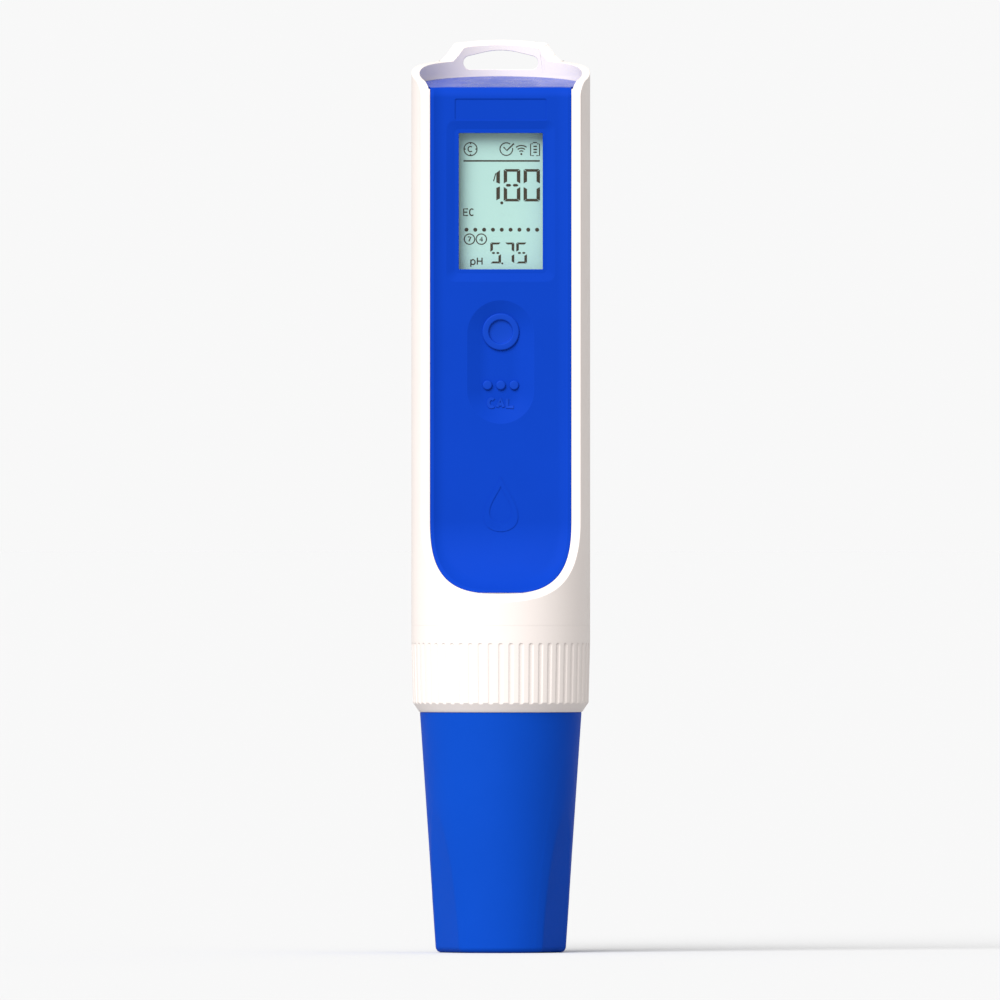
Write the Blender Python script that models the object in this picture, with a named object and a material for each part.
"""A pocket test pen for conductivity and pH: white tube housing with a hang loop, blue front fascia
with a display and two keys, and a probe under a pull-off storage cap.

Frame: +Z up, the pen stands on its storage cap, the display faces -Y, and the tube's axis is the Z axis.
"""

import math

import bmesh
import bpy
from mathutils import Matrix, Vector

MM = 0.001

# ---------------------------------------------------------------- driving dimensions
BODY_RADIUS = 17.6 * MM
BODY_WALL = 1.6 * MM
CAP_LENGTH = 47.2 * MM
COLLAR_LENGTH = 17.1 * MM
FASCIA_LIFT = 6.1 * MM  # from the bottom of the housing to the lowest point of the fascia
FASCIA_LENGTH = 99.5 * MM
LOOP_RISE = 9.75 * MM  # from the fascia's top edge to the top of the hang loop
RIM_DEPTH = 7.9 * MM  # the flat front rim lies this far in front of the axis
RAMP_RADIUS = 18.1 * MM  # the rim curves forward to the tube's face at the bottom of the fascia
RAMP_RISE = 14.3 * MM  # from the fascia's lowest point up to where the rim is flat
LID_SLOPE = 0.106  # rise of the fascia's top face per unit of depth

# ---------------------------------------------------------------- clearances
SEAM_GAP = 0.15 * MM  # between visible pieces that meet
REST_GAP = 0.25 * MM  # between pieces that rest on each other
KEY_GAP = 0.15 * MM  # around a key in its hole
HELD_GAP = 0.2 * MM  # around a piece that is held in a bore or a pocket
END_OVERCUT = 3.0 * MM  # how far cutters run past what they cut

# ---------------------------------------------------------------- housing details
NECK_WALL = 2.3 * MM
HOUSING_FLOOR = 1.6 * MM
RIM_FLANGE = 1.2 * MM  # thickness of the housing's front wall beside the fascia
SHOULDER_CORNER = 3.6 * MM
SHOULDER_ANGLE = math.radians(14.5)
SHOULDER_BREAK = 5.8 * MM  # behind this depth the shoulders rise half as steeply
LOOP_HALF_WIDTH = 8.75 * MM
LOOP_FOOT_HALF_WIDTH = 11.9 * MM
LOOP_CORNER = 2.2 * MM
LOOP_CROWN_RADIUS = 55.0 * MM
LOOP_DRAFT = 0.75 * MM  # how far the loop's edge leans back over the thickness of the wall
LOOP_SHOULDER_DROP = 4.3 * MM  # from the loop's top to the foot of its sides
SLOT_HALF_WIDTH = 7.4 * MM
SLOT_BOTTOM = 5.9 * MM  # below the loop's top
SLOT_PEAK = 2.1 * MM  # below the loop's top
SLOT_END_HEIGHT = 2.7 * MM

# ---------------------------------------------------------------- fascia details
FASCIA_WALL = 2.2 * MM
FASCIA_FLUSH = 0.1 * MM  # the fascia's border lies this far behind the rim
FASCIA_BORDER = 0.72 * MM
DISH_DEPTH = 0.49 * MM
LID_FILLET = 2.2 * MM  # radius between the fascia's face and its top face
OUTLINE_POWER = 3.0
OUTLINE_END = 15.4 * MM  # height of the rounded lower end
LID_THICKNESS = 1.8 * MM
WINDOW_WIDTH = 16.5 * MM
WINDOW_HEIGHT = 26.8 * MM
WINDOW_DROP = 8.9 * MM  # from the fascia's top edge to the window's top edge
BEZEL_SLOPE_WIDTH = 1.65 * MM
BEZEL_LEDGE = 0.8 * MM
BEZEL_DEPTH = 0.35 * MM
BEZEL_CORNER = 1.7 * MM
LABEL_WIDTH = 18.0 * MM
LABEL_DROP = 2.2 * MM
LABEL_DEPTH = 0.15 * MM
POCKET_WIDTH = 13.2 * MM
POCKET_HEIGHT = 24.3 * MM
POCKET_DROP = 41.8 * MM  # from the fascia's top edge to the key pocket's top
POCKET_DEPTH = 1.0 * MM
POCKET_SLOPE_WIDTH = 3.3 * MM

# ---------------------------------------------------------------- keys
KEY_TRAVEL = 0.4 * MM
KEY_RISE = 0.5 * MM  # above the pocket's floor
POWER_KEY_RADIUS = 3.65 * MM
POWER_RING_INNER = 2.3 * MM
POWER_KEY_DROP = 6.2 * MM  # from the pocket's top to the key's centre
CAL_KEY_DROP = 16.7 * MM
CAL_DOT_RADIUS = 0.93 * MM
CAL_DOT_PITCH = 2.63 * MM
KEY_FLANGE = 0.9 * MM
KEY_PLATE = 0.8 * MM
PLUNGER_RADIUS = 1.2 * MM
DOME_RADIUS = 3.0 * MM
DOME_HEIGHT = 0.45 * MM
DOME_THICKNESS = 0.12 * MM

# ---------------------------------------------------------------- display and board
LENS_THICKNESS = 0.8 * MM
LENS_MARGIN = 1.4 * MM
GLASS_THICKNESS = 1.1 * MM
GLASS_MARGIN_X = 0.9 * MM
GLASS_MARGIN_Z = 1.8 * MM
FRAME_WALL = 1.3 * MM
BACKLIGHT_THICKNESS = 1.1 * MM
ZEBRA_HEIGHT = 1.5 * MM
BOARD_THICKNESS = 1.6 * MM
BOARD_HALF_WIDTH = 12.0 * MM
BOARD_TOP_GAP = 2.5 * MM
BOARD_LIFT = 3.0 * MM
CHIP_SIZE = 7.0 * MM
CHIP_THICKNESS = 1.0 * MM
CHIP_LIFT = 2.0 * MM
RADIO_DROP = 2.5 * MM
RADIO_WIDTH = 10.0 * MM
RADIO_HEIGHT = 8.0 * MM
RADIO_THICKNESS = 1.8 * MM
CRYSTAL_RADIUS = 1.0 * MM
CRYSTAL_LENGTH = 6.0 * MM

# ---------------------------------------------------------------- battery and its door
BATTERY_RADIUS = 5.25 * MM
BATTERY_LENGTH = 44.5 * MM
BATTERY_NUB_RADIUS = 1.9 * MM
BATTERY_NUB = 0.8 * MM
BATTERY_LIFT = 18.0 * MM
BATTERY_OPENING_SIDE = 0.8 * MM
BATTERY_OPENING_END = 0.5 * MM
CHASSIS_THICKNESS = 1.3 * MM
CHASSIS_LIFT = 3.0 * MM
CHASSIS_DROP = 1.0 * MM
TROUGH_WALL = 1.2 * MM
TROUGH_HEIGHT = 5.5 * MM
SPRING_LENGTH = 2.6 * MM
SPRING_WIRE = 0.3 * MM
SPRING_TURNS = 3
SPRING_FOOT_RADIUS = 3.6 * MM
SPRING_TOP_RADIUS = 2.0 * MM
CONTACT_THICKNESS = 0.4 * MM
DOOR_HALF_WIDTH = 8.4 * MM
DOOR_MARGIN = 5.2 * MM  # from the battery opening's end to the door's end
DOOR_LAND = 2.4 * MM  # how far the thickened wall runs past the door
DOOR_CORNER = 2.5 * MM
DOOR_LEDGE = 1.2 * MM
GASKET_THICKNESS = 0.5 * MM
DOOR_EDGE = 1.1 * MM  # the door's thickness at its long edges
BOARD_SCREW_LIFT = 12.0 * MM
BOARD_SCREW_MARGIN = 2.4 * MM
SCREW_RADIUS = 1.1 * MM
SCREW_HEAD_RADIUS = 2.2 * MM
SCREW_HEAD = 1.3 * MM
SCREW_SLOT = 0.6 * MM

# ---------------------------------------------------------------- collar
COLLAR_WALL = 2.3 * MM
COLLAR_THREAD_CLEARANCE = 0.4 * MM
COLLAR_STRAIGHT = 2.9 * MM  # the upper part that is as wide as the housing
COLLAR_TAPER = 0.3 * MM
COLLAR_CHAMFER = 1.9 * MM
COLLAR_LIP = 3.1 * MM
COLLAR_LIP_REACH = 1.4 * MM  # how far the lip reaches in under the probe's flange
FLUTES = 54
FLUTE_RADIUS = 0.62 * MM
FLUTE_DEPTH = 0.34 * MM
FLUTE_DROP = 3.5 * MM  # from the collar's top to the flutes' top
WASHER_THICKNESS = 0.5 * MM

# ---------------------------------------------------------------- storage cap
CAP_STEP = 1.68 * MM  # how much narrower the cap's mouth is than the housing
CAP_TAPER = 3.12 * MM
CAP_BORE_TAPER = 1.65 * MM
CAP_SPIGOT_GAP = 0.3 * MM
CAP_FLOOR = 3.0 * MM
CAP_FILLET = 1.2 * MM
SPIGOT_WALL = 1.05 * MM
FLAT_ANGLE = math.radians(61.4)
FLAT_BITE = 0.98 * MM  # how far the four grip flats cut in at the foot
FLAT_TOP = 28.0 * MM

# ---------------------------------------------------------------- probe
FLANGE_THICKNESS = 2.9 * MM
PLUG_TOP_GAP = 2.6 * MM  # from the plug's top to the housing's cavity
BARREL_CLEARANCE = 1.15 * MM  # inside the cap's bore
TIP_STEP = 1.1 * MM
TIP_SHOULDER = 28.0 * MM
TIP_FACE = 15.0 * MM
GUARD_END = 6.0 * MM
GUARD_WALL = 1.4 * MM
GUARD_WINDOW = 9.0 * MM
GUARD_RING = 1.8 * MM
SEAL_RADIUS = 0.65 * MM  # of the O-rings' section
SEAL_WELL = 1.7 * MM  # height of an O-ring's groove
PLUG_SEAL_DROP = 5.0 * MM
CAP_SEAL_DROP = 5.2 * MM  # below the cap's mouth
STEM_RADIUS = 2.6 * MM
STEM_WALL = 0.5 * MM
STEM_LENGTH = 44.0 * MM
BULB_RADIUS = 3.5 * MM
BULB_HEIGHT = 11.6 * MM  # of the bulb's centre above the cap's foot
WIRE_RADIUS = 0.35 * MM
WIRE_BEAD = 0.9 * MM
WIRE_DIP = 1.5 * MM  # how far below the bulb's centre the wire ends
JUNCTION_RADIUS = 4.6 * MM
JUNCTION_THICKNESS = 1.6 * MM
SENSOR_RADIUS = 6.6 * MM  # the pins and the thermometer stand on this circle
EC_PIN_RADIUS = 0.9 * MM
EC_PIN_LENGTH = 14.0 * MM
THERMOMETER_RADIUS = 1.25 * MM
PIN_REACH = 4.5 * MM  # below the tip's face
PROBE_BOARD_THICKNESS = 1.0 * MM
CONTACT_PINS = 4
CONTACT_PITCH = 2.54 * MM
CONTACT_RADIUS = 0.45 * MM
CONTACT_BLOCK_HEIGHT = 4.0 * MM
CONTACT_BLOCK_DEPTH = 2.4 * MM
CONTACT_BLOCK_MARGIN = 0.6 * MM

# ---------------------------------------------------------------- how finely round things are divided
ROUND_LARGE = 64
ROUND_MEDIUM = 36
ROUND_SMALL = 20

# ---------------------------------------------------------------- heights and places that follow
BORE_RADIUS = BODY_RADIUS - BODY_WALL
COLLAR_BOTTOM = CAP_LENGTH + SEAM_GAP
COLLAR_TOP = COLLAR_BOTTOM + COLLAR_LENGTH
HOUSING_BOTTOM = COLLAR_TOP + SEAM_GAP
LIP_TOP = COLLAR_BOTTOM + COLLAR_LIP
FLANGE_BOTTOM = LIP_TOP + WASHER_THICKNESS + 2 * REST_GAP
FLANGE_TOP = FLANGE_BOTTOM + FLANGE_THICKNESS
NECK_BOTTOM = FLANGE_TOP + REST_GAP
CAVITY_BOTTOM = HOUSING_BOTTOM + HOUSING_FLOOR
FASCIA_BOTTOM = HOUSING_BOTTOM + FASCIA_LIFT
FASCIA_TOP = FASCIA_BOTTOM + FASCIA_LENGTH
TOP = FASCIA_TOP + LOOP_RISE
RAMP_TOP = FASCIA_BOTTOM + RAMP_RISE
COLLAR_BORE = BODY_RADIUS - COLLAR_WALL
NECK_RADIUS = COLLAR_BORE - COLLAR_THREAD_CLEARANCE
NECK_BORE = NECK_RADIUS - NECK_WALL
PLUG_RADIUS = NECK_BORE - HELD_GAP
PLUG_TOP = CAVITY_BOTTOM - PLUG_TOP_GAP
OPENING_HALF_WIDTH = math.sqrt(BORE_RADIUS**2 - RIM_DEPTH**2)
RAMP_CENTRE_Y = -RIM_DEPTH - RAMP_RADIUS
CAP_MOUTH_RADIUS = BODY_RADIUS - CAP_STEP
CAP_FOOT_RADIUS = CAP_MOUTH_RADIUS - CAP_TAPER
CAP_BORE_MOUTH = COLLAR_BORE - COLLAR_LIP_REACH - CAP_SPIGOT_GAP - SPIGOT_WALL
CAP_BORE_FOOT = CAP_BORE_MOUTH - CAP_BORE_TAPER
BARREL_RADIUS = CAP_BORE_MOUTH - BARREL_CLEARANCE
TIP_RADIUS = BARREL_RADIUS - TIP_STEP

WINDOW_TOP = FASCIA_TOP - WINDOW_DROP
WINDOW_CENTRE = WINDOW_TOP - WINDOW_HEIGHT / 2
POCKET_TOP = FASCIA_TOP - POCKET_DROP
POWER_KEY_HEIGHT = POCKET_TOP - POWER_KEY_DROP
CAL_KEY_HEIGHT = POCKET_TOP - CAL_KEY_DROP

DISH_Y = -RIM_DEPTH + FASCIA_FLUSH + DISH_DEPTH
POCKET_Y = DISH_Y + POCKET_DEPTH
FASCIA_BACK = -RIM_DEPTH + FASCIA_FLUSH + FASCIA_WALL
KEY_FRONT = POCKET_Y - KEY_RISE
KEY_PLATE_FRONT = FASCIA_BACK + REST_GAP
LENS_FRONT = FASCIA_BACK + REST_GAP
GLASS_FRONT = LENS_FRONT + LENS_THICKNESS + REST_GAP
GLASS_WIDTH = WINDOW_WIDTH + 2 * GLASS_MARGIN_X
GLASS_HEIGHT = WINDOW_HEIGHT + 2 * GLASS_MARGIN_Z
BACKLIGHT_FRONT = GLASS_FRONT + GLASS_THICKNESS + REST_GAP
BOARD_FRONT = BACKLIGHT_FRONT + BACKLIGHT_THICKNESS + 3 * REST_GAP
BOARD_BACK = BOARD_FRONT + BOARD_THICKNESS
BOARD_TOP = FASCIA_TOP - LID_THICKNESS - BOARD_TOP_GAP
BOARD_BOTTOM = CAVITY_BOTTOM + BOARD_LIFT
DOME_FRONT = BOARD_FRONT - REST_GAP - DOME_HEIGHT
PLUNGER_END = DOME_FRONT - REST_GAP - KEY_TRAVEL

CHASSIS_FRONT = BOARD_BACK + REST_GAP
CHASSIS_BACK = CHASSIS_FRONT + CHASSIS_THICKNESS
BATTERY_Y = CHASSIS_BACK + REST_GAP + BATTERY_RADIUS
BATTERY_BOTTOM = CAVITY_BOTTOM + BATTERY_LIFT
BATTERY_TOP = BATTERY_BOTTOM + BATTERY_LENGTH
SPRING_BOTTOM = BATTERY_BOTTOM - REST_GAP - SPRING_LENGTH
CONTACT_BOTTOM = BATTERY_TOP + REST_GAP
TROUGH_BOTTOM = SPRING_BOTTOM - REST_GAP - SPRING_WIRE
TROUGH_TOP = CONTACT_BOTTOM + CONTACT_THICKNESS + REST_GAP
BATTERY_OPENING_BOTTOM = TROUGH_BOTTOM - BATTERY_OPENING_END
BATTERY_OPENING_TOP = TROUGH_TOP + BATTERY_OPENING_END
BATTERY_OPENING_HALF = BATTERY_RADIUS + BATTERY_OPENING_SIDE
DOOR_BOTTOM = BATTERY_OPENING_BOTTOM - DOOR_MARGIN
DOOR_TOP = BATTERY_OPENING_TOP + DOOR_MARGIN
DOOR_CENTRE = (DOOR_BOTTOM + DOOR_TOP) / 2
DOOR_HEIGHT = DOOR_TOP - DOOR_BOTTOM
DOOR_INNER_Y = math.sqrt(BODY_RADIUS**2 - DOOR_HALF_WIDTH**2) - DOOR_EDGE
LEDGE_Y = DOOR_INNER_Y - GASKET_THICKNESS - 2 * REST_GAP
DOOR_SCREWS = (DOOR_BOTTOM + DOOR_MARGIN / 2, DOOR_TOP - DOOR_MARGIN / 2)
BOARD_SCREW_HEIGHT = TROUGH_BOTTOM + BOARD_SCREW_LIFT
BOARD_SCREW_X = BOARD_HALF_WIDTH - BOARD_SCREW_MARGIN


# ---------------------------------------------------------------- materials
def material(name, colour, roughness, metallic=0.0, transmission=0.0):
    found = bpy.data.materials.get(name)
    if found:
        return found
    made = bpy.data.materials.new(name)
    made.use_nodes = True
    shader = made.node_tree.nodes["Principled BSDF"]
    shader.inputs["Base Color"].default_value = (*colour, 1.0)
    shader.inputs["Roughness"].default_value = roughness
    shader.inputs["Metallic"].default_value = metallic
    shader.inputs["Transmission Weight"].default_value = transmission
    return made


WHITE = material("white_plastic", (0.86, 0.84, 0.82), 0.35)
BLUE = material("blue_plastic", (0.005, 0.07, 0.56), 0.45)
CLEAR = material("clear_plastic", (0.9, 0.95, 0.95), 0.05, transmission=0.9)
DISPLAY = material("display_glass", (0.55, 0.76, 0.71), 0.2)
DIFFUSER = material("white_diffuser", (0.9, 0.92, 0.9), 0.5)
BLACK = material("black_plastic", (0.02, 0.02, 0.022), 0.45)
RUBBER = material("black_rubber", (0.015, 0.015, 0.015), 0.8)
ZEBRA = material("conductive_rubber", (0.35, 0.12, 0.12), 0.7)
LAMINATE = material("green_laminate", (0.01, 0.18, 0.07), 0.4)
STEEL = material("spring_steel", (0.6, 0.6, 0.62), 0.25, 1.0)
GOLD = material("gold_plate", (0.9, 0.65, 0.25), 0.25, 1.0)
GRAPHITE = material("graphite", (0.05, 0.05, 0.055), 0.5)
GLASS = material("electrode_glass", (0.85, 0.93, 0.95), 0.02, transmission=0.9)
SILVER = material("silver_wire", (0.8, 0.8, 0.8), 0.3, 1.0)
POROUS = material("porous_white", (0.85, 0.85, 0.82), 0.9)
CELL = material("cell_wrap", (0.08, 0.08, 0.09), 0.35)
CARRIER = material("grey_plastic", (0.25, 0.26, 0.27), 0.5)


# ---------------------------------------------------------------- making meshes
def object_from(bm, name, look, smooth_angle=35.0):
    bmesh.ops.recalc_face_normals(bm, faces=bm.faces)
    mesh = bpy.data.meshes.new(name)
    bm.to_mesh(mesh)
    bm.free()
    mesh.materials.append(look)
    mesh.shade_smooth()
    mesh.set_sharp_from_angle(angle=math.radians(smooth_angle))
    made = bpy.data.objects.new(name, mesh)
    bpy.context.scene.collection.objects.link(made)
    return made


def prism(name, loop_a, loop_b, look=WHITE):
    """A closed solid between two loops of the same number of points."""
    bm = bmesh.new()
    ends = [[bm.verts.new(p) for p in loop] for loop in (loop_a, loop_b)]
    edges = [
        bm.edges.new((end[i], end[(i + 1) % len(end)]))
        for end in ends
        for i in range(len(end))
    ]
    bmesh.ops.bridge_loops(bm, edges=edges)
    for end in ends:
        bm.faces.new(end)
    return object_from(bm, name, look)


def lofted(name, sections, look=WHITE):
    """A closed solid through a row of sections with the same number of points."""
    bm = bmesh.new()
    rings = [[bm.verts.new(p) for p in section] for section in sections]
    for ring, following in zip(rings, rings[1:]):
        for i in range(len(ring)):
            j = (i + 1) % len(ring)
            bm.faces.new((ring[i], ring[j], following[j], following[i]))
    for end in (rings[0], rings[-1]):
        bm.faces.new(end)
    return object_from(bm, name, look)


def prism_x(name, outline, x0, x1, look=WHITE):
    """An outline of (y, z) points, extruded along X."""
    return prism(name, [(x0, y, z) for y, z in outline], [(x1, y, z) for y, z in outline], look)


def prism_y(name, outline, y0, y1, look=WHITE, outline_b=None):
    """An outline of (x, z) points, extruded along Y; outline_b is the shape at y1 if it differs."""
    end = outline_b or outline
    return prism(name, [(x, y0, z) for x, z in outline], [(x, y1, z) for x, z in end], look)


def box(name, x, y, z, look=WHITE):
    """A block from x[0] to x[1], y[0] to y[1] and z[0] to z[1]."""
    outline = [(x[0], y[0]), (x[1], y[0]), (x[1], y[1]), (x[0], y[1])]
    return prism(name, [(a, b, z[0]) for a, b in outline], [(a, b, z[1]) for a, b in outline], look)


def turned(name, profile, look=WHITE, segments=ROUND_MEDIUM, smooth_angle=35.0):
    """A solid turned about Z from (radius, height) points; a profile may start and end on the axis."""
    bm = bmesh.new()
    points = [bm.verts.new((r, 0, z)) for r, z in profile]
    on_axis = profile[0][0] == 0 and profile[-1][0] == 0
    count = len(points) - 1 if on_axis else len(points)
    edges = [bm.edges.new((points[i], points[(i + 1) % len(points)])) for i in range(count)]
    bmesh.ops.spin(
        bm,
        geom=points + edges,
        cent=(0, 0, 0),
        axis=(0, 0, 1),
        angle=2 * math.pi,
        steps=segments,
        use_merge=True,
    )
    bmesh.ops.remove_doubles(bm, verts=bm.verts, dist=1e-7)
    return object_from(bm, name, look, smooth_angle)


def facing_front(obj, x, y, z):
    """Stands a turned solid with its +Z towards the front, its origin at the given point."""
    obj.rotation_euler = (math.pi / 2, 0, 0)
    obj.location = (x, y, z)
    return obj


def rod_y(name, radius, x, z, y0, y1, look=WHITE, segments=ROUND_SMALL):
    """A round rod along Y, from y0 at the front to y1 at the back."""
    made = turned(name, [(0, 0), (radius, 0), (radius, y1 - y0), (0, y1 - y0)], look, segments)
    return facing_front(made, x, y1, z)


def rod_z(name, radius, x, y, z0, z1, look=WHITE, segments=ROUND_SMALL):
    """A round rod along Z, from z0 up to z1."""
    made = turned(name, [(0, 0), (radius, 0), (radius, z1 - z0), (0, z1 - z0)], look, segments)
    made.location = (x, y, z0)
    return made


def boolean(target, other, operation):
    modifier = target.modifiers.new(f"{operation.lower()} {other.name}", "BOOLEAN")
    modifier.operation = operation
    modifier.object = other
    other.hide_render = True
    other.display_type = "WIRE"
    return target


def cut(target, *cutters):
    for cutter in cutters:
        boolean(target, cutter, "DIFFERENCE")
    return target


def keep_common(target, other):
    return boolean(target, other, "INTERSECT")


def join(target, *others):
    for other in others:
        boolean(target, other, "UNION")
    return target


# ---------------------------------------------------------------- outlines
def arc(centre, radius, start, end, steps):
    """Points on a circle from angle start to angle end, in radians."""
    return [
        (
            centre[0] + radius * math.cos(start + (end - start) * i / steps),
            centre[1] + radius * math.sin(start + (end - start) * i / steps),
        )
        for i in range(steps + 1)
    ]


def rounded_rectangle(width, height, corner, centre_z, steps=4):
    points = []
    for turn, (sx, sz) in enumerate(((1, 1), (-1, 1), (-1, -1), (1, -1))):
        middle = (sx * (width / 2 - corner), centre_z + sz * (height / 2 - corner))
        points += arc(middle, corner, turn * math.pi / 2, (turn + 1) * math.pi / 2, steps)
    return points


def pill(width, height, centre_z, steps=16):
    radius = width / 2
    reach = height / 2 - radius
    upper = arc((0, centre_z + reach), radius, 0, math.pi, steps)
    return upper + arc((0, centre_z - reach), radius, math.pi, 2 * math.pi, steps)


def fascia_outline(inset, top, steps=14):
    """The fascia's outline as seen from the front: straight sides and a superelliptic lower end."""
    half = OPENING_HALF_WIDTH - inset
    end = OUTLINE_END - inset
    middle = FASCIA_BOTTOM + OUTLINE_END
    lower = []
    for i in range(2 * steps + 1):
        turn = math.pi * i / (2 * steps)
        c, s = math.cos(turn), math.sin(turn)
        x = half * math.copysign(abs(c) ** (2 / OUTLINE_POWER), c)
        lower.append((x, middle - end * s ** (2 / OUTLINE_POWER)))
    return [(half, top)] + lower + [(-half, top)]


def rim_line(offset, bottom_y, top, steps=10):
    """The (y, z) line of the rim's surface moved back by offset, from the depth bottom_y up to top."""
    radius = RAMP_RADIUS + offset
    start = -math.acos((bottom_y - RAMP_CENTRE_Y) / radius)
    return arc((RAMP_CENTRE_Y, RAMP_TOP), radius, start, 0, steps) + [(offset - RIM_DEPTH, top)]


def lid_height(y):
    return FASCIA_TOP + LID_SLOPE * (y + RIM_DEPTH)


def face_line(offset, bottom_y, sweep=math.pi / 2 - math.atan(LID_SLOPE)):
    """The (y, z) line of the fascia's face, from bottom_y up and over its top fillet, moved back by offset."""
    centre_y = offset - RIM_DEPTH + LID_FILLET
    centre_z = lid_height(centre_y) - LID_FILLET * math.sqrt(1 + LID_SLOPE**2)
    fillet = arc((centre_y, centre_z), LID_FILLET, math.pi, math.pi - sweep, 5)
    return rim_line(offset, bottom_y, centre_z)[:-1] + fillet


# ---------------------------------------------------------------- housing
def loop_outline(inset):
    """The hang loop's edge from its left foot over the top to its right foot, as (x, z) on the tube's face."""
    foot = TOP - LOOP_SHOULDER_DROP - inset
    half = LOOP_HALF_WIDTH - inset
    crown_radius = LOOP_CROWN_RADIUS - inset
    spread = math.asin((half - LOOP_CORNER) / crown_radius)
    crown = arc(
        (0, TOP - LOOP_CROWN_RADIUS), crown_radius, math.pi / 2 - spread, math.pi / 2 + spread, 6
    )
    side = [
        (LOOP_FOOT_HALF_WIDTH - inset, foot),
        (LOOP_FOOT_HALF_WIDTH - inset - 0.45 * LOOP_CORNER, foot + 0.24 * LOOP_SHOULDER_DROP),
        (half + 0.72 * LOOP_CORNER, foot + 0.40 * LOOP_SHOULDER_DROP),
        (half + 0.38 * LOOP_CORNER, foot + 0.64 * LOOP_SHOULDER_DROP),
        (half + 0.05 * LOOP_CORNER, foot + 0.84 * LOOP_SHOULDER_DROP),
    ]
    return side + crown + [(-x, z) for x, z in reversed(side)]


def loop_guard():
    """What is left standing of the tube's wall as the hang loop; its edge leans back along the radius."""
    low = TOP - LOOP_SHOULDER_DROP - 3 * LOOP_CORNER
    edges = []
    for radius in (BORE_RADIUS - END_OVERCUT / 2, BODY_RADIUS + END_OVERCUT / 2):
        inset = LOOP_DRAFT * (BODY_RADIUS - radius) / BODY_WALL
        turns = [(math.asin(x / BODY_RADIUS), z) for x, z in loop_outline(inset)]
        edges.append([(radius * math.sin(turn), radius * math.cos(turn), z) for turn, z in turns])
    sections = [
        [(*inner[:2], low), inner, outer, (*outer[:2], low)] for inner, outer in zip(*edges)
    ]
    return lofted("loop_guard", sections)


def slot_outline():
    """The slot that a lanyard or a hook goes through: flat below, round at the ends, peaked above."""
    bottom = TOP - SLOT_BOTTOM
    peak = TOP - SLOT_PEAK
    end = SLOT_END_HEIGHT / 2
    middle = SLOT_HALF_WIDTH - end
    right = arc((middle, bottom + end), end, -math.pi / 2, math.radians(75), 8)
    shoulder = [(0.35 * SLOT_HALF_WIDTH, peak - 0.22 * (peak - bottom - SLOT_END_HEIGHT))]
    return right + shoulder + [(0, peak)] + [(-x, z) for x, z in reversed(right + shoulder)]


def front_cutter():
    """All that lies in front of the rim and above the shoulders, less the hang loop."""
    reach = BODY_RADIUS + END_OVERCUT
    corner_z = FASCIA_TOP - 0.52 * SHOULDER_CORNER
    corner_end = math.pi / 2 + SHOULDER_ANGLE
    line = rim_line(0, -BODY_RADIUS - 0.3 * MM, corner_z)
    corner = arc((SHOULDER_CORNER - RIM_DEPTH, corner_z), SHOULDER_CORNER, math.pi, corner_end, 6)
    last_y, last_z = corner[-1]
    middle = (SHOULDER_BREAK, last_z + (SHOULDER_BREAK - last_y) * math.tan(SHOULDER_ANGLE))
    back = (reach, middle[1] + (reach - middle[0]) * math.tan(SHOULDER_ANGLE) / 2)
    outline = [(-reach, line[0][1])] + line[:-1] + corner + [middle, back]
    outline += [(reach, TOP + 2 * END_OVERCUT), (-reach, TOP + 2 * END_OVERCUT)]
    cutter = prism_x("front_cutter", outline, -reach, reach)
    return cut(cutter, loop_guard())


def door_block():
    """The flat land that the battery door's gasket lies on."""
    half = DOOR_HALF_WIDTH + DOOR_LAND
    margin = DOOR_LAND
    return box(
        "door_block",
        (-half, half),
        (LEDGE_Y - DOOR_LEDGE, BODY_RADIUS + END_OVERCUT),
        (DOOR_BOTTOM - margin, DOOR_TOP + margin),
    )


def cavity_cutter():
    reach = BODY_RADIUS + END_OVERCUT
    line = rim_line(RIM_FLANGE, -BORE_RADIUS - 0.5 * MM, FASCIA_TOP - 0.2 * MM)
    outline = [(reach, CAVITY_BOTTOM), (line[0][0], CAVITY_BOTTOM)] + line
    outline += [(-reach, line[-1][1]), (-reach, TOP + END_OVERCUT), (reach, TOP + END_OVERCUT)]
    bore = [(0, CAVITY_BOTTOM - END_OVERCUT), (BORE_RADIUS, CAVITY_BOTTOM - END_OVERCUT)]
    bore += [(BORE_RADIUS, TOP + 2 * END_OVERCUT), (0, TOP + 2 * END_OVERCUT)]
    cutter = turned("cavity_cutter", bore, segments=ROUND_LARGE)
    keep_common(cutter, prism_x("cavity_limit", outline, -reach, reach))
    return cut(cutter, door_block())


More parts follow.
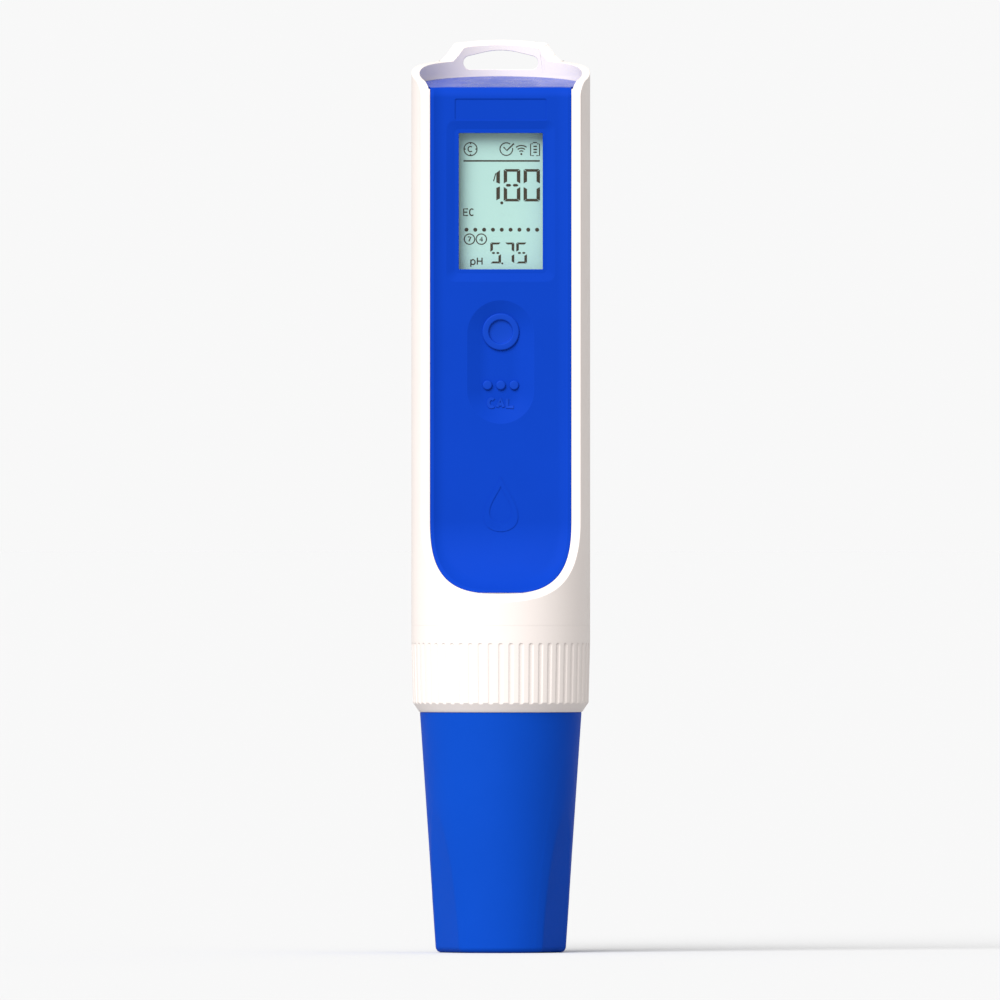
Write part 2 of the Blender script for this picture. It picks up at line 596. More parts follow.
def make_housing():
    blank_top = TOP + END_OVERCUT / 2
    profile = [
        (0, CAVITY_BOTTOM + 0.5 * MM),
        (NECK_BORE, CAVITY_BOTTOM + 0.5 * MM),
        (NECK_BORE, NECK_BOTTOM),
        (NECK_RADIUS, NECK_BOTTOM),
        (NECK_RADIUS, HOUSING_BOTTOM),
        (BODY_RADIUS, HOUSING_BOTTOM),
        (BODY_RADIUS, blank_top),
        (0, blank_top),
    ]
    housing = turned("housing", profile, WHITE, ROUND_LARGE)
    opening_z = (BATTERY_OPENING_BOTTOM + BATTERY_OPENING_TOP) / 2
    opening = rounded_rectangle(
        2 * BATTERY_OPENING_HALF, BATTERY_OPENING_TOP - BATTERY_OPENING_BOTTOM, 1.0 * MM, opening_z, 2
    )
    recess = rounded_rectangle(
        2 * (DOOR_HALF_WIDTH + SEAM_GAP), DOOR_HEIGHT + 2 * SEAM_GAP, DOOR_CORNER + SEAM_GAP, DOOR_CENTRE
    )
    outside = BODY_RADIUS + END_OVERCUT
    cut(
        housing,
        cavity_cutter(),
        front_cutter(),
        prism_y("opening_cutter", fascia_outline(0, TOP), -outside, FASCIA_BACK),
        prism_y("slot_cutter", slot_outline(), BORE_RADIUS / 2, outside),
        prism_y("door_recess_cutter", recess, LEDGE_Y, outside),
        prism_y("battery_opening_cutter", opening, LEDGE_Y - 2 * DOOR_LEDGE, outside),
    )
    for i, z in enumerate(DOOR_SCREWS):
        hole = rod_y(f"pilot_cutter_{i}", SCREW_RADIUS + HELD_GAP, 0, z, LEDGE_Y - 2 * DOOR_LEDGE, outside)
        cut(housing, hole)


# ---------------------------------------------------------------- fascia
def make_fascia():
    """A shell whose face fills the housing's opening; its flange and its lid lie inside the tube."""
    reach = BODY_RADIUS + END_OVERCUT
    back = FASCIA_FLUSH + FASCIA_WALL
    front = face_line(FASCIA_FLUSH, -BODY_RADIUS)
    rear = rim_line(back, -BORE_RADIUS - 0.4 * MM, lid_height(-RIM_DEPTH + back) - LID_THICKNESS)
    lid_back = lid_height(reach)
    outline = front + [(reach, lid_back), (reach, lid_back - LID_THICKNESS)] + rear[::-1]
    fascia = prism_x("front_fascia", outline, -reach, reach, BLUE)

    held = BORE_RADIUS - HELD_GAP
    floor = CAVITY_BOTTOM + HELD_GAP
    disc = [(0, floor), (held, floor), (held, TOP), (0, TOP)]
    limit = turned("fascia_limit", disc, BLUE, ROUND_LARGE)
    flange = rim_line(RIM_FLANGE + HELD_GAP, -BODY_RADIUS, TOP + END_OVERCUT)
    behind = flange + [(reach, TOP + END_OVERCUT), (reach, flange[0][1])]
    keep_common(limit, prism_x("flange_limit", behind, -reach, reach))
    join(limit, prism_y("face_limit", fascia_outline(SEAM_GAP, TOP - MM), -reach, FASCIA_BACK / 2, BLUE))
    keep_common(fascia, limit)

    sweep = math.radians(65)
    dish_line = face_line(FASCIA_FLUSH + DISH_DEPTH, -BODY_RADIUS - END_OVERCUT / 3, sweep)
    over_y = dish_line[-1][0] + END_OVERCUT * math.sin(sweep)
    over_z = dish_line[-1][1] + END_OVERCUT * math.cos(sweep)
    dish = prism_x(
        "dish_cutter",
        [(-reach, dish_line[0][1])] + dish_line + [(over_y, over_z), (over_y, TOP), (-reach, TOP)],
        -reach,
        reach,
    )
    keep_common(dish, prism_y("dish_limit", fascia_outline(SEAM_GAP + FASCIA_BORDER, TOP), -2 * reach, 0))

    grow = BEZEL_LEDGE + BEZEL_SLOPE_WIDTH * (1 + END_OVERCUT / BEZEL_DEPTH)
    bezel_wide = rounded_rectangle(
        WINDOW_WIDTH + 2 * grow, WINDOW_HEIGHT + 2 * grow, BEZEL_CORNER, WINDOW_CENTRE
    )
    bezel_narrow = rounded_rectangle(
        WINDOW_WIDTH + 2 * BEZEL_LEDGE, WINDOW_HEIGHT + 2 * BEZEL_LEDGE, BEZEL_CORNER / 2, WINDOW_CENTRE
    )
    bezel = prism_y(
        "bezel_cutter", bezel_wide, DISH_Y - END_OVERCUT, DISH_Y + BEZEL_DEPTH, outline_b=bezel_narrow
    )
    window = rounded_rectangle(WINDOW_WIDTH, WINDOW_HEIGHT, 0.4 * MM, WINDOW_CENTRE, 2)
    label_bottom = WINDOW_TOP + BEZEL_LEDGE
    label_top = FASCIA_TOP - LABEL_DROP
    label = rounded_rectangle(
        LABEL_WIDTH, label_top - label_bottom, 0.4 * MM, (label_top + label_bottom) / 2, 2
    )
    widen = 2 * POCKET_SLOPE_WIDTH * END_OVERCUT / POCKET_DEPTH
    narrow = 2 * POCKET_SLOPE_WIDTH
    pocket_middle = POCKET_TOP - POCKET_HEIGHT / 2
    pocket_front = pill(POCKET_WIDTH + widen, POCKET_HEIGHT + widen, pocket_middle)
    pocket_floor = pill(POCKET_WIDTH - narrow, POCKET_HEIGHT - narrow, pocket_middle)
    cut(
        fascia,
        dish,
        bezel,
        prism_y("window_cutter", window, -reach, 0),
        prism_y("label_cutter", label, -reach, DISH_Y + LABEL_DEPTH),
        prism_y("pocket_cutter", pocket_front, DISH_Y - END_OVERCUT, POCKET_Y, outline_b=pocket_floor),
        rod_y("power_hole", POWER_KEY_RADIUS + KEY_GAP, 0, POWER_KEY_HEIGHT, -reach, 0, segments=32),
    )
    for i in (-1, 0, 1):
        cut(
            fascia,
            rod_y(f"dot_hole_{i}", CAL_DOT_RADIUS + KEY_GAP, i * CAL_DOT_PITCH, CAL_KEY_HEIGHT, -reach, 0),
        )


# ---------------------------------------------------------------- keys
def make_power_key():
    """Turned about its own push axis; its ring stands proud and its middle is level with the pocket."""
    y = lambda front: POCKET_Y - front
    profile = [
        (0, y(POCKET_Y)),
        (POWER_RING_INNER, y(POCKET_Y)),
        (POWER_RING_INNER + 0.1 * MM, y(KEY_FRONT)),
        (POWER_KEY_RADIUS, y(KEY_FRONT)),
        (POWER_KEY_RADIUS, y(KEY_PLATE_FRONT)),
        (POWER_KEY_RADIUS + KEY_FLANGE, y(KEY_PLATE_FRONT)),
        (POWER_KEY_RADIUS + KEY_FLANGE, y(KEY_PLATE_FRONT + KEY_PLATE)),
        (PLUNGER_RADIUS, y(KEY_PLATE_FRONT + KEY_PLATE)),
        (PLUNGER_RADIUS, y(PLUNGER_END)),
        (0, y(PLUNGER_END)),
    ]
    facing_front(turned("power_button", profile, BLUE, 32), 0, POCKET_Y, POWER_KEY_HEIGHT)


def make_cal_key():
    """Three round studs on one plate, with a plunger behind."""
    half = CAL_DOT_PITCH + CAL_DOT_RADIUS + KEY_FLANGE
    plate = rounded_rectangle(2 * half, 2 * (CAL_DOT_RADIUS + KEY_FLANGE), 1.2 * MM, 0)
    key = prism_y("cal_button", plate, 0, KEY_PLATE, BLUE)
    key.location = (0, KEY_PLATE_FRONT, CAL_KEY_HEIGHT)
    plate_middle = KEY_PLATE_FRONT + KEY_PLATE / 2
    for i in (-1, 0, 1):
        x = i * CAL_DOT_PITCH
        join(key, rod_y(f"stud_{i}", CAL_DOT_RADIUS, x, CAL_KEY_HEIGHT, KEY_FRONT, plate_middle))
    join(key, rod_y("cal_plunger", PLUNGER_RADIUS, 0, CAL_KEY_HEIGHT, plate_middle, PLUNGER_END))


def make_dome(name, z):
    """A snap dome of thin spring steel, standing on the board."""
    thin = DOME_THICKNESS
    outer = [(DOME_RADIUS * math.sin(a), DOME_HEIGHT * math.cos(a)) for a in (0, 0.5, 1.0, 1.4)]
    inner = [(r, z_ - thin) for r, z_ in outer[:-1]]
    profile = outer + [(DOME_RADIUS, 0), (DOME_RADIUS - thin, 0)] + inner[::-1]
    facing_front(turned(name, profile, STEEL, ROUND_SMALL, 60), 0, BOARD_FRONT - REST_GAP, z)


# ---------------------------------------------------------------- display and board
def make_display():
    """Lens, cell, backlight and the frame round them, stacked behind the window."""
    lens_x = WINDOW_WIDTH / 2 + LENS_MARGIN
    lens_z = WINDOW_HEIGHT / 2 + LENS_MARGIN
    box(
        "display_window",
        (-lens_x, lens_x),
        (LENS_FRONT, LENS_FRONT + LENS_THICKNESS),
        (WINDOW_CENTRE - lens_z, WINDOW_CENTRE + lens_z),
        CLEAR,
    )
    half_x = GLASS_WIDTH / 2
    half_z = GLASS_HEIGHT / 2
    glass_back = GLASS_FRONT + GLASS_THICKNESS
    box(
        "lcd_glass",
        (-half_x, half_x),
        (GLASS_FRONT, glass_back),
        (WINDOW_CENTRE - half_z, WINDOW_CENTRE + half_z),
        DISPLAY,
    )
    zebra_z = half_z - ZEBRA_HEIGHT / 2 - REST_GAP
    light_z = half_z - ZEBRA_HEIGHT - 3 * REST_GAP
    box(
        "backlight_panel",
        (-half_x, half_x),
        (BACKLIGHT_FRONT, BACKLIGHT_FRONT + BACKLIGHT_THICKNESS),
        (WINDOW_CENTRE - light_z, WINDOW_CENTRE + light_z),
        DIFFUSER,
    )
    for name, side in (("zebra_strip_top", 1), ("zebra_strip_bottom", -1)):
        middle = WINDOW_CENTRE + side * zebra_z
        box(
            name,
            (-0.9 * half_x, 0.9 * half_x),
            (glass_back + REST_GAP, BOARD_FRONT - REST_GAP),
            (middle - ZEBRA_HEIGHT / 2, middle + ZEBRA_HEIGHT / 2),
            ZEBRA,
        )
    inner_x = half_x + HELD_GAP
    inner_z = half_z + HELD_GAP
    depth = (GLASS_FRONT, BOARD_FRONT - REST_GAP)
    frame = box(
        "lcd_frame",
        (-inner_x - FRAME_WALL, inner_x + FRAME_WALL),
        depth,
        (WINDOW_CENTRE - inner_z - FRAME_WALL, WINDOW_CENTRE + inner_z + FRAME_WALL),
        BLACK,
    )
    hole = box(
        "lcd_frame_hole",
        (-inner_x, inner_x),
        (depth[0] - END_OVERCUT, depth[1] + END_OVERCUT),
        (WINDOW_CENTRE - inner_z, WINDOW_CENTRE + inner_z),
    )
    cut(frame, hole)


def make_board():
    board = box(
        "main_board",
        (-BOARD_HALF_WIDTH, BOARD_HALF_WIDTH),
        (BOARD_FRONT, BOARD_BACK),
        (BOARD_BOTTOM, BOARD_TOP),
        LAMINATE,
    )
    for i, side in enumerate((-1, 1)):
        hole = rod_y(
            f"board_hole_{i}",
            SCREW_RADIUS + HELD_GAP,
            side * BOARD_SCREW_X,
            BOARD_SCREW_HEIGHT,
            BOARD_FRONT - END_OVERCUT,
            BOARD_BACK + END_OVERCUT,
        )
        cut(board, hole)
    back = BOARD_FRONT - REST_GAP
    chip_z = BOARD_SCREW_HEIGHT + CHIP_LIFT
    box(
        "microcontroller",
        (-CHIP_SIZE / 2, CHIP_SIZE / 2),
        (back - CHIP_THICKNESS, back),
        (chip_z - CHIP_SIZE / 2, chip_z + CHIP_SIZE / 2),
        BLACK,
    )
    radio_top = chip_z - CHIP_SIZE / 2 - RADIO_DROP
    box(
        "radio_module",
        (-RADIO_WIDTH / 2, RADIO_WIDTH / 2),
        (back - RADIO_THICKNESS, back),
        (radio_top - RADIO_HEIGHT, radio_top),
        STEEL,
    )
    crystal_x = -BOARD_HALF_WIDTH + 3 * CRYSTAL_RADIUS
    crystal_y = back - CRYSTAL_RADIUS
    crystal_z = chip_z + CHIP_SIZE / 2 + REST_GAP
    crystal_top = crystal_z + CRYSTAL_LENGTH
    rod_z("clock_crystal", CRYSTAL_RADIUS, crystal_x, crystal_y, crystal_z, crystal_top, STEEL)


def make_screw(name, x, z, head_front, length, backwards=False):
    """A slotted cheese-head screw along Y; its head faces the front, or the back if backwards."""
    profile = [
        (0, 0),
        (SCREW_RADIUS, 0),
        (SCREW_RADIUS, length - SCREW_HEAD),
        (SCREW_HEAD_RADIUS, length - SCREW_HEAD),
        (SCREW_HEAD_RADIUS, length),
        (0, length),
    ]
    screw = turned(name, profile, STEEL, ROUND_SMALL)
    slot = box(
        f"{name}_slot",
        (-SCREW_HEAD_RADIUS - MM, SCREW_HEAD_RADIUS + MM),
        (-SCREW_SLOT / 2, SCREW_SLOT / 2),
        (length - SCREW_HEAD / 2, length + END_OVERCUT),
    )
    slot.parent = screw
    cut(screw, slot)
    if backwards:
        screw.rotation_euler = (-math.pi / 2, 0, 0)
        screw.location = (x, head_front - length, z)
    else:
        facing_front(screw, x, head_front + length, z)
    return screw


def make_board_screws():
    head_front = BOARD_FRONT - REST_GAP - SCREW_HEAD
    length = CHASSIS_BACK - head_front - REST_GAP
    for name, side in (("board_screw_left", -1), ("board_screw_right", 1)):
        make_screw(name, side * BOARD_SCREW_X, BOARD_SCREW_HEIGHT, head_front, length)


# ---------------------------------------------------------------- battery
def make_chassis():
    """The carrier behind the board: a plate across the bore with a trough for the battery."""
    half = math.sqrt(BORE_RADIUS**2 - CHASSIS_BACK**2) - 2 * HELD_GAP
    top = BOARD_TOP - CHASSIS_DROP
    bottom = BOARD_BOTTOM + CHASSIS_LIFT
    chassis = box("chassis", (-half, half), (CHASSIS_FRONT, CHASSIS_BACK), (bottom, top), CARRIER)
    inner = BATTERY_RADIUS + REST_GAP
    walls = (CHASSIS_BACK - CHASSIS_THICKNESS / 2, CHASSIS_BACK + TROUGH_HEIGHT)
    for i, side in enumerate((-1, 1)):
        x = sorted((side * inner, side * (inner + TROUGH_WALL)))
        join(chassis, box(f"trough_side_{i}", x, walls, (TROUGH_BOTTOM, TROUGH_TOP)))
    ends = (
        (TROUGH_BOTTOM - TROUGH_WALL, TROUGH_BOTTOM + 0.02 * MM),
        (TROUGH_TOP - 0.02 * MM, TROUGH_TOP + TROUGH_WALL),
    )
    for i, z in enumerate(ends):
        reach = inner + 0.9 * TROUGH_WALL
        join(chassis, box(f"trough_end_{i}", (-reach, reach), walls, z))
    for i, side in enumerate((-1, 1)):
        hole = rod_y(
            f"chassis_hole_{i}",
            SCREW_RADIUS + HELD_GAP,
            side * BOARD_SCREW_X,
            BOARD_SCREW_HEIGHT,
            CHASSIS_FRONT - END_OVERCUT,
            CHASSIS_BACK + END_OVERCUT,
        )
        cut(chassis, hole)


def make_battery():
    body = BATTERY_LENGTH - BATTERY_NUB
    edge = 0.4 * MM
    profile = [
        (0, 0),
        (BATTERY_RADIUS - edge, 0),
        (BATTERY_RADIUS, edge),
        (BATTERY_RADIUS, body - edge),
        (BATTERY_RADIUS - edge, body),
        (BATTERY_NUB_RADIUS, body),
        (BATTERY_NUB_RADIUS, BATTERY_LENGTH),
        (0, BATTERY_LENGTH),
    ]
    battery = turned("battery", profile, CELL, 32)
    battery.location = (0, BATTERY_Y, BATTERY_BOTTOM)


def make_battery_contacts():
    """A coil spring under the cell and a flat plate above it."""
    curve = bpy.data.curves.new("battery_spring", "CURVE")
    curve.dimensions = "3D"
    curve.bevel_depth = SPRING_WIRE
    curve.bevel_resolution = 1
    curve.use_fill_caps = True
    spline = curve.splines.new("POLY")
    per_turn = 12
    count = SPRING_TURNS * per_turn
    spline.points.add(count)
    for i in range(count + 1):
        share = i / count
        turn = 2 * math.pi * i / per_turn
        radius = SPRING_FOOT_RADIUS + (SPRING_TOP_RADIUS - SPRING_FOOT_RADIUS) * share
        height = SPRING_WIRE + (SPRING_LENGTH - 2 * SPRING_WIRE) * share
        spline.points[i].co = (radius * math.cos(turn), radius * math.sin(turn), height, 1)
    spring = bpy.data.objects.new("battery_spring", curve)
    curve.materials.append(STEEL)
    bpy.context.scene.collection.objects.link(spring)
    spring.location = (0, BATTERY_Y, SPRING_BOTTOM)
    half = 0.8 * BATTERY_RADIUS
    box(
        "battery_contact",
        (-half, half),
        (BATTERY_Y - half, BATTERY_Y + half),
        (CONTACT_BOTTOM, CONTACT_BOTTOM + CONTACT_THICKNESS),
        STEEL,
    )


def make_door():
    """The battery door: its outer face follows the tube, its inner face is flat on the gasket."""
    half_height = DOOR_HEIGHT / 2
    tube = [(0, -half_height - MM), (BODY_RADIUS, -half_height - MM)]
    tube += [(BODY_RADIUS, half_height + MM), (0, half_height + MM)]
    door = turned("battery_door", tube, WHITE, ROUND_LARGE)
    door.location = (0, 0, DOOR_CENTRE)
    outline = rounded_rectangle(2 * DOOR_HALF_WIDTH, DOOR_HEIGHT, DOOR_CORNER, DOOR_CENTRE)
    keep_common(door, prism_y("door_limit", outline, DOOR_INNER_Y, BODY_RADIUS + END_OVERCUT))
    head_back = BODY_RADIUS - 0.2 * MM
    seat = head_back - SCREW_HEAD - 0.1 * MM
    for i, z in enumerate(DOOR_SCREWS):
        start = DOOR_INNER_Y - END_OVERCUT
        steps = [
            (0, 0),
            (SCREW_RADIUS + HELD_GAP, 0),
            (SCREW_RADIUS + HELD_GAP, seat - start),
            (SCREW_HEAD_RADIUS + HELD_GAP, seat - start),
            (SCREW_HEAD_RADIUS + HELD_GAP, BODY_RADIUS + END_OVERCUT - start),
            (0, BODY_RADIUS + END_OVERCUT - start),
        ]
        hole = turned(f"door_hole_{i}", steps, segments=ROUND_SMALL)
        hole.rotation_euler = (-math.pi / 2, 0, 0)
        hole.location = (0, start, z)
        cut(door, hole)
        length = head_back - LEDGE_Y + DOOR_LEDGE
        make_screw(("door_screw_bottom", "door_screw_top")[i], 0, z, head_back, length, backwards=True)

    gasket_y = (LEDGE_Y + REST_GAP, LEDGE_Y + REST_GAP + GASKET_THICKNESS)
    outer = rounded_rectangle(
        2 * (DOOR_HALF_WIDTH - HELD_GAP), DOOR_HEIGHT - 2 * HELD_GAP, DOOR_CORNER, DOOR_CENTRE
    )
    opening = rounded_rectangle(
        2 * (BATTERY_OPENING_HALF + HELD_GAP), DOOR_HEIGHT - 2 * DOOR_MARGIN, 1.2 * MM, DOOR_CENTRE, 2
    )
    gasket = prism_y("door_gasket", outer, *gasket_y, RUBBER)
    before = LEDGE_Y - END_OVERCUT
    behind = DOOR_INNER_Y + END_OVERCUT
    cut(gasket, prism_y("gasket_opening", opening, before, behind))
    for i, z in enumerate(DOOR_SCREWS):
        cut(gasket, rod_y(f"gasket_hole_{i}", SCREW_RADIUS + HELD_GAP, 0, z, before, behind))


# ---------------------------------------------------------------- collar and cap
def make_collar():
    """The fluted ring that holds the probe in the housing."""
    taper_top = COLLAR_TOP - COLLAR_STRAIGHT
    chamfer_top = COLLAR_BOTTOM + COLLAR_CHAMFER
    foot = BODY_RADIUS - COLLAR_TAPER
    lip = COLLAR_BORE - COLLAR_LIP_REACH
    profile = [
        (COLLAR_BORE, COLLAR_TOP),
        (BODY_RADIUS, COLLAR_TOP),
        (BODY_RADIUS, taper_top),
        (foot, chamfer_top),
        (CAP_MOUTH_RADIUS + 0.1 * MM, COLLAR_BOTTOM),
        (lip, COLLAR_BOTTOM),
        (lip, LIP_TOP),
        (COLLAR_BORE, LIP_TOP),
    ]
    collar = turned("probe_collar", profile, WHITE, ROUND_LARGE)
    length = COLLAR_TOP - FLUTE_DROP - COLLAR_BOTTOM
    lean = math.atan2(COLLAR_TAPER, taper_top - chamfer_top)
    bm = bmesh.new()
    for i in range(FLUTES):
        made = bmesh.ops.create_cone(
            bm, cap_ends=True, segments=8, radius1=FLUTE_RADIUS, radius2=FLUTE_RADIUS, depth=length
        )
        out = foot + FLUTE_RADIUS - FLUTE_DEPTH + COLLAR_TAPER / 2
        place = Matrix.Rotation(2 * math.pi * i / FLUTES, 4, "Z") @ Matrix.Translation(
            (0, -out, COLLAR_TOP - FLUTE_DROP - length / 2)
        )
        bmesh.ops.transform(bm, matrix=place @ Matrix.Rotation(lean, 4, "X"), verts=made["verts"])
    cut(collar, object_from(bm, "flute_cutters", WHITE))

    washer = [
        (lip + HELD_GAP, LIP_TOP + REST_GAP),
        (COLLAR_BORE - HELD_GAP, LIP_TOP + REST_GAP),
        (COLLAR_BORE - HELD_GAP, LIP_TOP + REST_GAP + WASHER_THICKNESS),
        (lip + HELD_GAP, LIP_TOP + REST_GAP + WASHER_THICKNESS),
    ]
    turned("collar_washer", washer, CARRIER, ROUND_MEDIUM)


def grip_flat(name, turn):
    """A cutter for one of the cap's flats: it bites most at the foot and runs out at FLAT_TOP."""
    slope = (CAP_MOUTH_RADIUS - CAP_FOOT_RADIUS) / CAP_LENGTH
    bite = lambda z: FLAT_BITE * (z / FLAT_TOP) ** 2 - FLAT_BITE
    steps = 8
    edge = [
        (CAP_FOOT_RADIUS + slope * z + bite(z), z)
        for z in (-MM + (1.15 * FLAT_TOP + MM) * i / steps for i in range(steps + 1))
    ]
    far = CAP_MOUTH_RADIUS + END_OVERCUT
    outline = [(-r, z) for r, z in edge] + [(-far, edge[-1][1]), (-far, edge[0][1])]
    cutter = prism_x(name, outline, -CAP_FOOT_RADIUS, CAP_FOOT_RADIUS)
    cutter.rotation_euler = (0, 0, turn)
    return cutter


def make_cap():
    fillet = arc((CAP_FOOT_RADIUS - CAP_FILLET, CAP_FILLET), CAP_FILLET, -math.pi / 2, 0, 4)
    spigot_top = LIP_TOP - REST_GAP
    inner = CAP_BORE_FOOT - MM
    profile = [
        (0, 0),
        *fillet,
        (CAP_MOUTH_RADIUS, CAP_LENGTH),
        (CAP_BORE_MOUTH + SPIGOT_WALL, CAP_LENGTH),
        (CAP_BORE_MOUTH + SPIGOT_WALL, spigot_top),
        (CAP_BORE_MOUTH, spigot_top),
        (CAP_BORE_MOUTH, CAP_LENGTH),
        (CAP_BORE_FOOT, CAP_FLOOR + MM),
        (inner, CAP_FLOOR),
        (0, CAP_FLOOR),
    ]
    cap = turned("storage_cap", profile, BLUE, ROUND_LARGE)
    for i, turn in enumerate((FLAT_ANGLE, math.pi - FLAT_ANGLE, math.pi + FLAT_ANGLE, -FLAT_ANGLE)):
        cut(cap, grip_flat(f"flat_cutter_{i}", turn))


# ---------------------------------------------------------------- probe
def seal(name, radius, z):
    """An O-ring; radius is its outer edge."""
    middle = radius - SEAL_RADIUS
    ring = arc((middle, z), SEAL_RADIUS, 0, 2 * math.pi, 6)[:-1]
    turned(name, ring, RUBBER, 32, 60)


def make_probe():
    plug_well = PLUG_TOP - PLUG_SEAL_DROP
    cap_well = CAP_LENGTH - CAP_SEAL_DROP
    well = 2 * SEAL_RADIUS + HELD_GAP
    profile = [
        (0, PLUG_TOP),
        (PLUG_RADIUS, PLUG_TOP),
        (PLUG_RADIUS, plug_well + SEAL_WELL / 2),
        (PLUG_RADIUS - well, plug_well + SEAL_WELL / 2),
        (PLUG_RADIUS - well, plug_well - SEAL_WELL / 2),
        (PLUG_RADIUS, plug_well - SEAL_WELL / 2),
        (PLUG_RADIUS, FLANGE_TOP),
        (NECK_RADIUS, FLANGE_TOP),
        (NECK_RADIUS, FLANGE_BOTTOM),
        (BARREL_RADIUS, FLANGE_BOTTOM),
        (BARREL_RADIUS, cap_well + SEAL_WELL / 2),
        (BARREL_RADIUS - well, cap_well + SEAL_WELL / 2),
        (BARREL_RADIUS - well, cap_well - SEAL_WELL / 2),
        (BARREL_RADIUS, cap_well - SEAL_WELL / 2),
        (BARREL_RADIUS, TIP_SHOULDER),
        (TIP_RADIUS, TIP_SHOULDER - (BARREL_RADIUS - TIP_RADIUS)),
        (TIP_RADIUS, GUARD_END),
        (TIP_RADIUS - GUARD_WALL, GUARD_END),
        (TIP_RADIUS - GUARD_WALL, TIP_FACE),
        (0, TIP_FACE),
    ]
    probe = turned("probe_body", profile, BLACK, ROUND_MEDIUM)
    above = PLUG_TOP + END_OVERCUT
    seat_top = TIP_FACE + JUNCTION_THICKNESS
    bore = rod_z("stem_bore", STEM_RADIUS + HELD_GAP, 0, 0, TIP_FACE - END_OVERCUT, above, segments=24)
    seat = rod_z("junction_seat", JUNCTION_RADIUS + HELD_GAP, 0, 0, TIP_FACE - MM, seat_top, segments=32)
    cut(probe, bore, seat)
    window = (GUARD_END + GUARD_RING, TIP_FACE - 0.8 * MM)
    reach = TIP_RADIUS + END_OVERCUT
    for i in range(2):
        opening = box(f"guard_window_{i}", (-GUARD_WINDOW / 2, GUARD_WINDOW / 2), (-reach, reach), window)
        opening.rotation_euler = (0, 0, i * math.pi / 2)
        cut(probe, opening)

    pin_bottom = TIP_FACE - PIN_REACH
    sensors = [
        ("ec_pin_left", EC_PIN_RADIUS, math.radians(215), GRAPHITE),
        ("ec_pin_right", EC_PIN_RADIUS, math.radians(325), GRAPHITE),
        ("thermometer", THERMOMETER_RADIUS, math.radians(90), STEEL),
    ]
    for name, radius, turn, look in sensors:
        x, y = SENSOR_RADIUS * math.cos(turn), SENSOR_RADIUS * math.sin(turn)
        tip = arc((0, radius), radius, -math.pi / 2, 0, 3)[1:]
        pin = turned(name, [(0, 0), *tip, (radius, EC_PIN_LENGTH), (0, EC_PIN_LENGTH)], look, 16)
        pin.location = (x, y, pin_bottom)
        bore_top = pin_bottom + EC_PIN_LENGTH + HELD_GAP
        bore_bottom = TIP_FACE - END_OVERCUT / 2
        cut(probe, rod_z(f"{name}_bore", radius + HELD_GAP, x, y, bore_bottom, bore_top, segments=24))

    seal("probe_seal", PLUG_RADIUS + HELD_GAP / 2, plug_well)
    seal("cap_seal", CAP_BORE_MOUTH - 2 * HELD_GAP, cap_well)


def make_electrodes():
    """The pH glass, its silver wire and the porous ring round it."""
    top = BULB_HEIGHT + STEM_LENGTH
    join_angle = math.asin(STEM_RADIUS / BULB_RADIUS)
    outer = arc((0, BULB_HEIGHT), BULB_RADIUS, -math.pi / 2, math.pi / 2 - join_angle, 7)
    inner_radius = BULB_RADIUS - STEM_WALL
    inner_angle = math.asin((STEM_RADIUS - STEM_WALL) / inner_radius)
    inner = arc((0, BULB_HEIGHT), inner_radius, -math.pi / 2, math.pi / 2 - inner_angle, 5)
    outer[0] = (0, outer[0][1])
    inner[0] = (0, inner[0][1])
    profile = outer + [(STEM_RADIUS, top), (STEM_RADIUS - STEM_WALL, top)] + inner[::-1]
    turned("ph_glass", profile, GLASS, ROUND_SMALL, 60)
    wire_end = BULB_HEIGHT - WIRE_DIP
    bead = WIRE_BEAD
    wire = [
        (0, wire_end),
        (bead * 0.7, wire_end + bead * 0.3),
        (bead, wire_end + bead),
        (bead, wire_end + 4 * bead),
        (WIRE_RADIUS, wire_end + 4.5 * bead),
        (WIRE_RADIUS, PLUG_TOP - HELD_GAP),
        (0, PLUG_TOP - HELD_GAP),
    ]
    turned("ph_inner_electrode", wire, SILVER, 12)
    ring = [
        (STEM_RADIUS + HELD_GAP, TIP_FACE - 0.4 * MM),
        (JUNCTION_RADIUS, TIP_FACE - 0.4 * MM),
        (JUNCTION_RADIUS, TIP_FACE + JUNCTION_THICKNESS - HELD_GAP),
        (STEM_RADIUS + HELD_GAP, TIP_FACE + JUNCTION_THICKNESS - HELD_GAP),
    ]
    turned("reference_junction", ring, POROUS, 24)


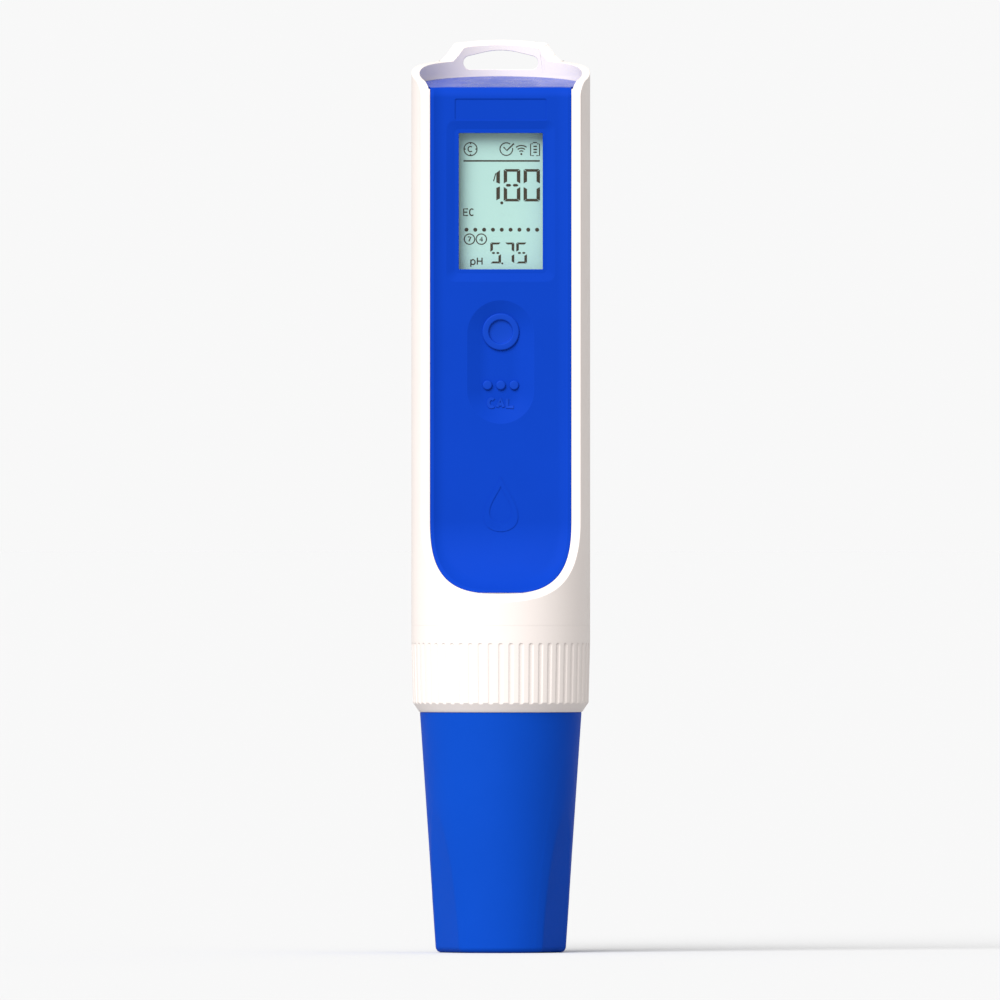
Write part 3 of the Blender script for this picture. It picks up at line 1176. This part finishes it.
def make_probe_contacts():
    """The probe's contact disc and the sprung pins that meet it from the main board."""
    disc_bottom = PLUG_TOP + REST_GAP
    disc_top = disc_bottom + PROBE_BOARD_THICKNESS
    disc = [(0, disc_bottom), (PLUG_RADIUS, disc_bottom), (PLUG_RADIUS, disc_top), (0, disc_top)]
    turned("probe_board", disc, LAMINATE, ROUND_MEDIUM)
    half = CONTACT_PITCH * CONTACT_PINS / 2 + CONTACT_BLOCK_MARGIN
    back = BOARD_FRONT - REST_GAP
    block = box(
        "contact_block",
        (-half, half),
        (back - CONTACT_BLOCK_DEPTH, back),
        (BOARD_BOTTOM, BOARD_BOTTOM + CONTACT_BLOCK_HEIGHT),
        BLACK,
    )
    pin_y = back - CONTACT_BLOCK_DEPTH / 2
    for i in range(CONTACT_PINS):
        x = CONTACT_PITCH * (i - (CONTACT_PINS - 1) / 2)
        pin_top = BOARD_BOTTOM + 0.7 * CONTACT_BLOCK_HEIGHT
        rod_z(f"contact_pin_{i + 1}", CONTACT_RADIUS, x, pin_y, disc_top + REST_GAP, pin_top, GOLD, 12)
        well = rod_z(
            f"contact_well_{i}",
            CONTACT_RADIUS + HELD_GAP,
            x,
            pin_y,
            BOARD_BOTTOM - END_OVERCUT,
            pin_top + HELD_GAP,
            segments=12,
        )
        cut(block, well)


# ---------------------------------------------------------------- assembly
def attach(empty_name, location, *names):
    """Parents pieces that move together to one empty on their joint's axis, without moving them."""
    empty = bpy.data.objects.new(empty_name, None)
    bpy.context.scene.collection.objects.link(empty)
    empty.location = location
    for name in names:
        piece = bpy.data.objects[name]
        piece.parent = empty
        piece.matrix_parent_inverse = Matrix.Translation(-Vector(location))


def main():
    make_housing()
    make_fascia()
    make_display()
    make_board()
    make_board_screws()
    make_power_key()
    make_cal_key()
    make_dome("power_dome", POWER_KEY_HEIGHT)
    make_dome("cal_dome", CAL_KEY_HEIGHT)
    make_chassis()
    make_battery()
    make_battery_contacts()
    make_door()
    make_collar()
    make_cap()
    make_probe()
    make_electrodes()
    make_probe_contacts()
    attach("door_slide", (0, 0, DOOR_CENTRE), "battery_door", "door_screw_top", "door_screw_bottom")
    attach(
        "probe_slide",
        (0, 0, FLANGE_TOP),
        "probe_body",
        "probe_seal",
        "cap_seal",
        "ph_glass",
        "ph_inner_electrode",
        "reference_junction",
        "ec_pin_left",
        "ec_pin_right",
        "thermometer",
        "probe_board",
        "collar_washer",
    )


for old in list(bpy.data.objects):
    bpy.data.objects.remove(old)
main()
